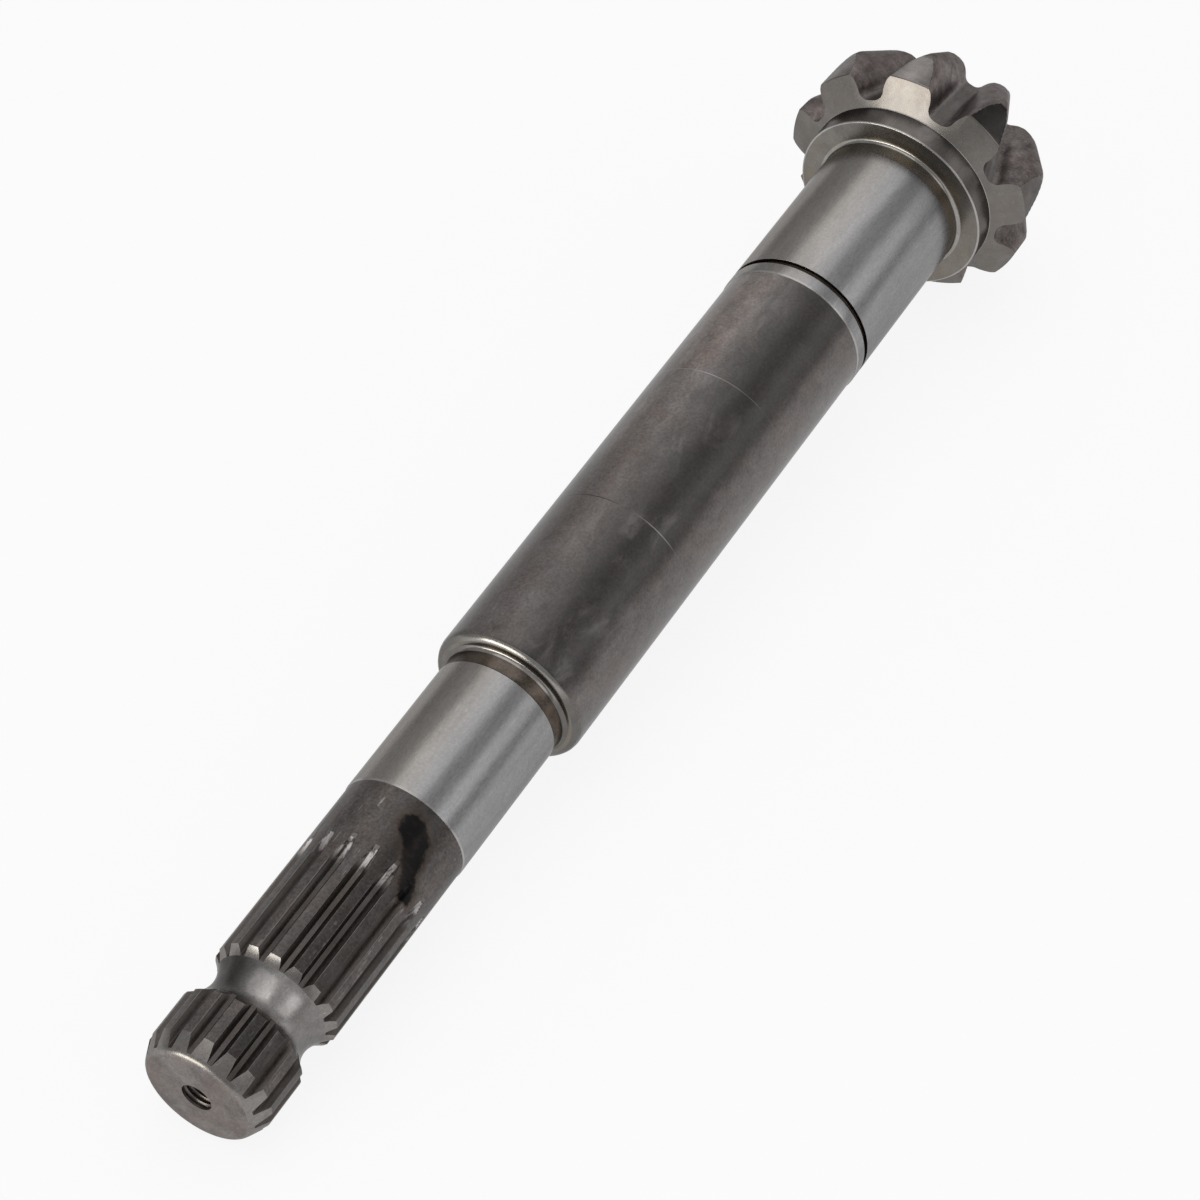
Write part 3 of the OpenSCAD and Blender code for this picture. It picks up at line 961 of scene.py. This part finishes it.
# oil stain by the splines' run-out: places are (along, arc length from the top, size)
oilStain = {
    "on": ("splineSteel", "spaceSkin", "tipEdge"),
    "blots": ((86.0, 9.6, 3.6), (83.4, 12.6, 4.0), (79.6, 14.6, 3.3),
              (75.8, 15.8, 2.6), (72.8, 18.2, 2.8), (70.8, 20.4, 1.8)),
    "merge": 1.5,
    "black": (0.013, 0.012, 0.012),
    "blackEdge": (0.8, -0.7),
    "fringe": (0.060, 0.043, 0.033),
    "fringeEdge": (2.8, 0.2),
    "fringeShare": 0.75,
    "waver": 3.6,
    "wavering": (0.5, 5.0, 0.62),
    "thinnest": 0.85,
    "thinning": (0.3, 4.0, 0.6),
    "thinEdge": (0.36, 0.54),
    "oilLeft": 0.05,
}


def stainSpline(name):
    tree, bsdf, space, _ = made[name]
    o, place = oilStain, space["Place"]
    colour = bsdf.inputs["Base Color"].links[0].from_socket
    arc = times(tree, space["Round"], math.radians(1) * shaft["splineR"])
    edge = None
    for along, across, size in o["blots"]:
        dx = calc(tree, "SUBTRACT", space["Along"], along)
        dy = calc(tree, "SUBTRACT", arc, across)
        far = calc(tree, "SQRT", calc(tree, "ADD", times(tree, dx, dx), times(tree, dy, dy)))
        here = calc(tree, "SUBTRACT", far, size)
        edge = here if edge is None else calc(tree, "SMOOTH_MIN", edge, here, o["merge"])
    waver = times(tree, centred(tree, noise(tree, place, *o["wavering"])), o["waver"])
    edge = calc(tree, "ADD", edge, waver)
    fringe = ramp(tree, edge, *o["fringeEdge"], 0.0, o["fringeShare"])
    colour = mixColour(tree, fringe, colour, solid(o["fringe"]))
    thick = ramp(tree, noise(tree, place, *o["thinning"]), *o["thinEdge"], o["thinnest"], 1.0)
    inside = times(tree, ramp(tree, edge, *o["blackEdge"]), thick)
    oil = bsdf.inputs["Coat Weight"].default_value
    if oil > 0:
        plug(tree, bsdf.inputs["Coat Weight"], ramp(tree, inside, 0.0, 1.0, oil, o["oilLeft"]))
    plug(tree, bsdf.inputs["Base Color"], mixColour(tree, inside, colour, solid(o["black"])))


# two fine lines turned round the barrel, with painted shade on one side and painted light on the other, pale
# scuffs, and one side paler and warmer towards the pinion, darker towards the splines
barrelMarks = {
    "scuffTone": (0.22, 0.202, 0.195),
    "scuffs": 0.4,
    "scuffStretch": 0.35,
    "scuffTurn": (0.6, 0.25, 0.4),
    "smears": (0.16, 5.0, 0.62, 0.6),
    "smearEdge": (0.5, 0.72),
    "patches": (0.04, 2.0),
    "patchEdge": (0.48, 0.62),
    "sideTurn": (6, -14),  # degrees from the top
    "sideAlong": (185, 285),
    "sideShift": (-0.14, 0.55),  # darker at the spline's end, paler at the pinion's
    "sideTint": (1.0, 0.94, 0.90),
    "sidePatches": (0.1, 5.0, 0.6, 0.6),
    "sidePatchy": (0.36, 0.62, 0.55, 1.35),
    "lines": (
        # along, then degrees where its painted shade ends, fading starts and fading ends
        (201.2, 22, 50, 60),
        (255.3, -180, 18, 50),
    ),
    "lineHalf": 0.13,
    "lineSoft": (1.8, 0.5),
    "lineLit": (0.36, 0.340, 0.328),
    "lineShade": (0.030, 0.026, 0.024),
    "lineBlend": 8,
    "lineFaded": 0.08,
    "breaks": (0.08, 2.0),
    "lineBroken": (0.40, 0.56, 0.3, 0.9),
}


def markBarrel():
    tree, bsdf, space, colour = made["barrelSkin"]
    m, place, angle = barrelMarks, space["Place"], space["Round"]
    drawn = stretched(tree, place, alongShaft(m["scuffStretch"]), m["scuffTurn"])
    smear = ramp(tree, noise(tree, drawn, *m["smears"]), *m["smearEdge"])
    patch = ramp(tree, noise(tree, place, *m["patches"]), *m["patchEdge"])
    colour = mixColour(tree, times(tree, smear, patch, m["scuffs"]), colour, solid(m["scuffTone"]))
    patchy = ramp(tree, noise(tree, place, *m["sidePatches"]), *m["sidePatchy"])
    along = ramp(tree, space["Along"], *m["sideAlong"], *m["sideShift"])
    sideShift = times(tree, ramp(tree, angle, *m["sideTurn"]), patchy, along)
    tint = mixColour(tree, calc(tree, "MAXIMUM", sideShift, 0.0), solid((1, 1, 1)), solid(m["sideTint"]))
    colour = tinted(tree, changed(tree, colour, sideShift), tint)
    broken = ramp(tree, noise(tree, place, *m["breaks"]), *m["lineBroken"])
    outer, inner = [m["lineHalf"] * share for share in m["lineSoft"]]
    for at, darkTo, fadeFrom, gone in m["lines"]:
        off = calc(tree, "ABSOLUTE", calc(tree, "SUBTRACT", space["Along"], at))
        fade = ramp(tree, angle, fadeFrom, gone, 1.0, m["lineFaded"])
        there = times(tree, ramp(tree, off, outer, inner), broken, fade)
        # each line is painted shade up to one angle and painted light past it
        lit = ramp(tree, angle, darkTo - m["lineBlend"], darkTo + m["lineBlend"])
        tone = mixColour(tree, lit, solid(m["lineShade"]), solid(m["lineLit"]))
        colour = mixColour(tree, there, colour, tone)
    plug(tree, bsdf.inputs["Base Color"], colour)


# fresh cut where the cutter left each spline space
runOut = {"along": (66.0, 73.0), "tone": (0.56, 0.54, 0.53), "share": 0.95,
          "stretch": 0.3, "scratches": (0.8, 3.0), "scratchy": (0.36, 0.54)}


def brightenRunOuts():
    tree, bsdf, space, colour = made["spaceSkin"]
    o = runOut
    near = ramp(tree, space["Along"], *o["along"], 0.0, o["share"])
    drawn = stretched(tree, space["Place"], alongShaft(o["stretch"]))
    scratchy = ramp(tree, noise(tree, drawn, *o["scratches"]), *o["scratchy"])
    colour = mixColour(tree, times(tree, near, scratchy), colour, solid(o["tone"]))
    plug(tree, bsdf.inputs["Base Color"], colour)


# outside diameter of the pinion, turned after forging
outside = {
    "below": (0.20, 0.05),  # starts and is full this far under the outside
    "dark": (0.055, 0.051, 0.049),
    "light": (0.120, 0.111, 0.107),
    "size": 4.0,
    "rough": 0.25,
    # bands of painted highlight and painted shade round the outside diameter
    "bands": (((-80, -56, -2, 10), 1.5), ((10, 24, 50, 60), -0.52), ((54, 66, 84, 104), 0.5)),
}


def turnOutside():
    tree, bsdf, space, colour = made["forgedFlank"]
    o = outside
    start, full = [pinion["outerR"] - below for below in o["below"]]
    there = ramp(tree, space["Radius"], start, full)
    patches = useGroup(tree, mottle, Place=space["Place"], Size=o["size"])["Mask"]
    tone = mixColour(tree, patches, solid(o["dark"]), solid(o["light"]))
    # painted highlight and shade in bands round the shaft
    tone = changed(tree, tone, bandSum(tree, space["Round"], o["bands"]))
    plug(tree, bsdf.inputs["Base Color"], mixColour(tree, there, colour, tone))
    forged = calc(tree, "SUBTRACT", bsdf.inputs["Roughness"].links[0].from_socket, o["rough"])
    forged = times(tree, forged, calc(tree, "SUBTRACT", 1.0, there))
    plug(tree, bsdf.inputs["Roughness"], calc(tree, "ADD", forged, o["rough"]))


# painted shade on one side of the lock groove, painted highlight beside it
grooveShading = (((-90, -60, -28, 2), -0.6), ((2, 20, 46, 66), 0.75))


def shadeGroove():
    tree, bsdf, space, colour = made["grooveSteel"]
    plug(tree, bsdf.inputs["Base Color"], changed(tree, colour, bandSum(tree, space["Round"], grooveShading)))


# painted shade on the sides of the first shoulder's rings, so they are bright on top only
ringShade = {"bands": (((-130, -90, -50, -20), -0.45), ((48, 70, 120, 160), -0.5)), "upTo": 200.0}


def shadeRingSides():
    tree, bsdf, space, colour = made["brightFillet"]
    here = calc(tree, "LESS_THAN", space["Along"], ringShade["upTo"])
    change = times(tree, bandSum(tree, space["Round"], ringShade["bands"]), here)
    plug(tree, bsdf.inputs["Base Color"], changed(tree, colour, change))


# the ground seats are warmer on one side and cooler on the other
seatTint = {"warm": (1.03, 1.0, 0.955), "cool": (0.98, 1.0, 1.025), "turn": (-4, 26)}


def tintSeats():
    tree, bsdf, space, colour = made["groundSeat"]
    t = seatTint
    tint = mixColour(tree, ramp(tree, space["Round"], *t["turn"]), solid(t["warm"]), solid(t["cool"]))
    plug(tree, bsdf.inputs["Base Color"], tinted(tree, colour, tint))


brightenRunOuts()
tintSeats()
shadeGroove()
shadeRingSides()
for name in oilStain["on"]:
    stainSpline(name)
markBarrel()
turnOutside()
print("finishes made:", len(made))

# camera fitted to the photograph, in the frame of the shaft
view = {
    "picture": 1200,  # pixels across
    "focal": 3892.5,  # pixels
    "centre": (600.94, 590.84),
    "turn": (-0.9133, 0.5943),
    "end": (-0.1039, 0.1302, 906.84),
    "unit": 1.04,  # millimetres to a unit of the fit
    "roll": 63.9,  # degrees from the fit's zero to straight down
    "sensor": 36,
    "clip": (0.05, 30),
}


def placeCamera():
    rx, ry = view["turn"]
    d = Vector((math.cos(ry) * math.cos(rx), math.cos(ry) * math.sin(rx), math.sin(ry)))
    u = Vector((0, 0, 1)).cross(d).normalized()
    v = d.cross(u)
    tx, ty, tz = view["end"]
    o = Vector((tx, ty, 1)) * tz
    a = math.radians(view["roll"])
    down = u * math.cos(a) + v * math.sin(a)  # shaft X, in picture axes
    side = -u * math.sin(a) + v * math.cos(a)  # shaft Y
    pic = Matrix((down, side, d)).transposed()  # shaft to picture axes
    tilt = math.radians(lying["tilt"])
    row = Matrix.Rotation(math.pi / 2 - tilt, 3, "Y")
    toRow = row @ pic.transposed()
    place = toRow @ (-o * view["unit"])  # camera from the splined end
    place = (place + Vector((-lying["middle"], 0, lying["height"]))) * mm
    axes = toRow @ Matrix(((1, 0, 0), (0, -1, 0), (0, 0, -1)))
    wide, (cx, cy) = view["picture"], view["centre"]
    data = bpy.data.cameras.new("photoCamera")
    data.sensor_width = view["sensor"]
    data.lens = view["sensor"] * view["focal"] / wide
    data.shift_x = (wide / 2 - cx) / wide
    data.shift_y = (cy - wide / 2) / wide
    data.clip_start, data.clip_end = view["clip"]
    cam = bpy.data.objects.new("photoCamera", data)
    cam.matrix_world = Matrix.Translation(place) @ axes.to_4x4()
    bpy.context.scene.collection.objects.link(cam)
    bpy.context.scene.camera = cam


placeCamera()
print("camera placed")

studio = {
    "floorSize": 8.0,
    "floorTone": 0.86,
    "floorRough": 0.9,
    "floorWhite": 0.88,  # share of the floor that shows as plain white
    "skyLow": 0.36,  # world at the horizon and overhead
    "skyHigh": 0.48,
    "skyTop": 0.7,  # height at which the upper tone is full
    "lamps": (
        # name, place, size along and across, brightness, colour
        ("overheadBox", (0.20, 0.14, 1.10), (2.0, 1.0), 0.85, (1, 1, 1)),
        ("frontStrip", (0.20, -1.05, 0.60), (1.8, 0.50), 0.80, (1, 1, 1)),
        ("endBox", (-1.15, 0.45, 0.25), (0.8, 0.42), 5.0, (1.0, 0.97, 0.90)),
    ),
}


def makeFloor():
    bpy.ops.object.select_all(action="DESELECT")
    bpy.ops.mesh.primitive_plane_add(size=studio["floorSize"])
    floor = bpy.context.object
    floor.name = "studioFloor"
    mat = bpy.data.materials.new("paleFloor")
    mat.use_nodes = True
    tree = mat.node_tree
    bsdf = tree.nodes["Principled BSDF"]
    bsdf.inputs["Base Color"].default_value = solid([studio["floorTone"]] * 3)
    bsdf.inputs["Roughness"].default_value = studio["floorRough"]
    bsdf.inputs["Specular IOR Level"].default_value = 0.0
    white = add(tree, "Emission")
    path = add(tree, "LightPath")
    seen = calc(tree, "MAXIMUM", path.outputs["Is Camera Ray"], path.outputs["Is Glossy Ray"])
    seen = calc(tree, "MAXIMUM", seen, path.outputs["Is Transmission Ray"])
    mix = add(tree, "MixShader")
    plug(tree, mix.inputs[0], times(tree, seen, studio["floorWhite"]))
    plug(tree, mix.inputs[1], bsdf.outputs[0])
    plug(tree, mix.inputs[2], white.outputs[0])
    plug(tree, tree.nodes["Material Output"].inputs["Surface"], mix.outputs[0])
    floor.data.materials.append(mat)


def makeWorld():
    world = bpy.data.worlds.new("studio")
    bpy.context.scene.world = world
    world.use_nodes = True
    tree = world.node_tree
    sky = tree.nodes["Background"]
    sky.inputs["Color"].default_value = (1, 1, 1, 1)
    split = add(tree, "SeparateXYZ")
    plug(tree, split.inputs[0], add(tree, "TexCoord").outputs["Generated"])
    bright = ramp(tree, split.outputs["Z"], 0.0, studio["skyTop"], studio["skyLow"], studio["skyHigh"])
    plug(tree, sky.inputs["Strength"], bright)


def hangLamps():
    for name, place, (long, wide), bright, colour in studio["lamps"]:
        data = bpy.data.lights.new(name, "AREA")
        data.shape, data.size, data.size_y = "RECTANGLE", long, wide
        data.color = colour
        data.energy = bright * math.pi * long * wide  # brightness one shows as white
        lamp = bpy.data.objects.new(name, data)
        aim = -Vector(place).normalized()
        side = Vector((1, 0, 0)) if abs(aim.x) < 0.8 else Vector((0, 1, 0))  # not the way it aims
        up = aim.cross(side).normalized()
        side = up.cross(aim).normalized()
        lamp.matrix_world = Matrix.Translation(place) @ Matrix((side, up, -aim)).transposed().to_4x4()
        lamp.visible_camera = False
        bpy.context.scene.collection.objects.link(lamp)


makeFloor()
makeWorld()
hangLamps()
print("studio lit")
bpy.context.scene.view_settings.view_transform = "Standard"
